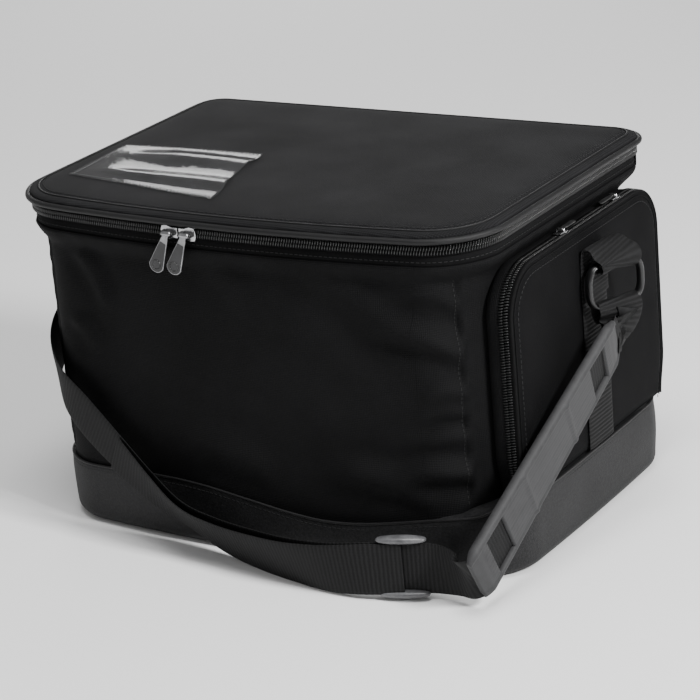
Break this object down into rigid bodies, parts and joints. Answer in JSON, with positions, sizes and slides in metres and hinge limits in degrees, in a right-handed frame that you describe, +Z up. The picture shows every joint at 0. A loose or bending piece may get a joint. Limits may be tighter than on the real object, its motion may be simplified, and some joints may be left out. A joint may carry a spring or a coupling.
{
  "type": "soft carrying case",
  "caption": "Padded soft carrying case with a zipped hinged lid, a zipped side pocket, a rubberised boot and a shoulder strap with pad.",
  "frame": {"origin": "centre of the base on the surface it stands on", "axes": "+Z up, front towards -Y, side pocket towards +X"},
  "size_m": [0.4583, 0.3463, 0.2699],
  "materials": {
    "body_fabric": "woven polyester, matt",
    "lid_fabric": "fine woven polyester over foam, matt",
    "boot_fabric": "rubberised fabric, fine grain",
    "piping": "wrapped piping cord",
    "webbing": "ribbed woven webbing",
    "zip_tape": "herringbone zip tape",
    "zip_coil": "nylon coil",
    "zip_metal": "nickel plated die-cast",
    "pull_enamel": "dark enamel with bare rims",
    "ring_plastic": "moulded, satin",
    "buckle_plastic": "moulded, satin",
    "pad_rubber": "moulded ribbed rubber, matt",
    "clear_window": "soft clear plastic sheet",
    "foam": "closed cell foam",
    "lining": "plain nylon lining",
    "board": "stiffening board"
  },
  "bodies": {
    "case": {"boot_base": "boot_fabric", "boot_front": "boot_fabric", "boot_right": "boot_fabric", "boot_back": "boot_fabric", "boot_left": "boot_fabric", "boot_piping": "boot_fabric", "panel_front": "body_fabric", "panel_right": "body_fabric", "panel_back": "body_fabric", "panel_left": "body_fabric", "foam_front": "foam", "foam_right": "foam", "foam_back": "foam", "foam_left": "foam", "base_foam": "foam", "base_board": "board", "lining": "lining", "body_zip_tape": "zip_tape", "body_zip_coil": "zip_coil", "hinge_tape": "zip_tape", "pocket_floor": "boot_fabric", "pocket_gusset": "body_fabric", "pocket_coil_fixed": "zip_coil", "anchor_web_left": "webbing", "ring_loop_left": "webbing", "strap_long": "webbing", "strap_tail": "webbing", "strap_end_left": "webbing"},
    "lid": {"lid_panel": "lid_fabric", "lid_foam": "foam", "lid_lining": "lining", "lid_piping": "piping", "lid_zip_tape": "zip_tape", "lid_zip_coil": "zip_coil", "lid_hinge_tape": "zip_tape", "label_window": "clear_window"},
    "slider_left": {"main_slider_left": "zip_metal"},
    "slider_right": {"main_slider_right": "zip_metal"},
    "pull_left": {"main_pull_left": "pull_enamel"},
    "pull_right": {"main_pull_right": "pull_enamel"},
    "pocket_flap": {"pocket_coil_flap": "zip_coil", "pocket_border": "body_fabric", "pocket_panel": "lid_fabric", "anchor_web_right": "webbing", "ring_loop_right": "webbing"},
    "pocket_slider_f": {"pocket_slider_front": "zip_metal"},
    "pocket_slider_b": {"pocket_slider_back": "zip_metal"},
    "pocket_pull_f": {"pocket_pull_front": "pull_enamel"},
    "pocket_pull_b": {"pocket_pull_back": "pull_enamel"},
    "ring_r": {"ring_right": "ring_plastic"},
    "ring_l": {"ring_left": "ring_plastic"},
    "strap_end": {"strap_drop": "webbing", "strap_end_right": "webbing"},
    "pad": {"shoulder_pad": "pad_rubber"},
    "buckle": {"strap_buckle": "buckle_plastic"}
  },
  "joints": [
    {"name": "lid_hinge", "type": "hinge", "parent": "case", "child": "lid", "pos_m": [0, 0.136, 0.256], "axis": [-1, 0, 0], "range_deg": [0, 105]},
    {"name": "slider_left_run", "type": "hinge", "parent": "case", "child": "slider_left", "pos_m": [0, 1.07003, 0.256], "axis": [0, 0, 1], "range_deg": [-4.6, 0]},
    {"name": "slider_right_run", "type": "hinge", "parent": "case", "child": "slider_right", "pos_m": [0, 1.07003, 0.256], "axis": [0, 0, 1], "range_deg": [0, 7.5]},
    {"name": "pull_left_swing", "type": "hinge", "parent": "slider_left", "child": "pull_left", "pos_m": [-0.04115, -0.16992, 0.256], "axis": [-0.9994, 0.0332, 0], "range_deg": [0, 130]},
    {"name": "pull_right_swing", "type": "hinge", "parent": "slider_right", "child": "pull_right", "pos_m": [-0.02509, -0.17035, 0.256], "axis": [-0.9998, 0.0202, 0], "range_deg": [0, 130]},
    {"name": "pocket_hinge", "type": "hinge", "parent": "case", "child": "pocket_flap", "pos_m": [0.215, 0, 0.0577], "axis": [0, 1, 0], "range_deg": [0, 25]},
    {"name": "pocket_slider_f_run", "type": "slide", "parent": "case", "child": "pocket_slider_f", "axis": [0, 1, 0], "range_m": [-0.036, 0.03]},
    {"name": "pocket_slider_b_run", "type": "slide", "parent": "case", "child": "pocket_slider_b", "axis": [0, 1, 0], "range_m": [-0.02, 0.014]},
    {"name": "pocket_pull_f_swing", "type": "hinge", "parent": "pocket_slider_f", "child": "pocket_pull_f", "pos_m": [0.20605, -0.022, 0.2353], "axis": [1, 0, 0], "range_deg": [0, 150]},
    {"name": "pocket_pull_b_swing", "type": "hinge", "parent": "pocket_slider_b", "child": "pocket_pull_b", "pos_m": [0.20605, 0.066, 0.2353], "axis": [-1, 0, 0], "range_deg": [0, 150]},
    {"name": "ring_right_swing", "type": "hinge", "parent": "pocket_flap", "child": "ring_r", "pos_m": [0.234, 0.006, 0.2058], "axis": [0.4226, 0.9063, 0], "range_deg": [-1.5, 1.5]},
    {"name": "ring_left_swing", "type": "hinge", "parent": "case", "child": "ring_l", "pos_m": [-0.2036, 0.004, 0.2058], "axis": [0, 1, 0], "range_deg": [-2.5, 2.5]},
    {"name": "strap_swing", "type": "hinge", "parent": "case", "child": "strap_end", "pos_m": [0.19, -0.172, 0.0015], "axis": [0, 1, 0], "range_deg": [0, 16.5]},
    {"name": "pad_slide", "type": "slide", "parent": "strap_end", "child": "pad", "axis": [0.1053, 0.8423, 0.5287], "range_m": [-0.006, 0.001]},
    {"name": "buckle_slide", "type": "slide", "parent": "case", "child": "buckle", "axis": [0.9413, 0.3376, 0.0061], "range_m": [-0.003, 0.003]}
  ],
  "couplings": [
    {"joint": "strap_swing", "follows": "pocket_hinge", "ratio": 0.66}
  ]
}
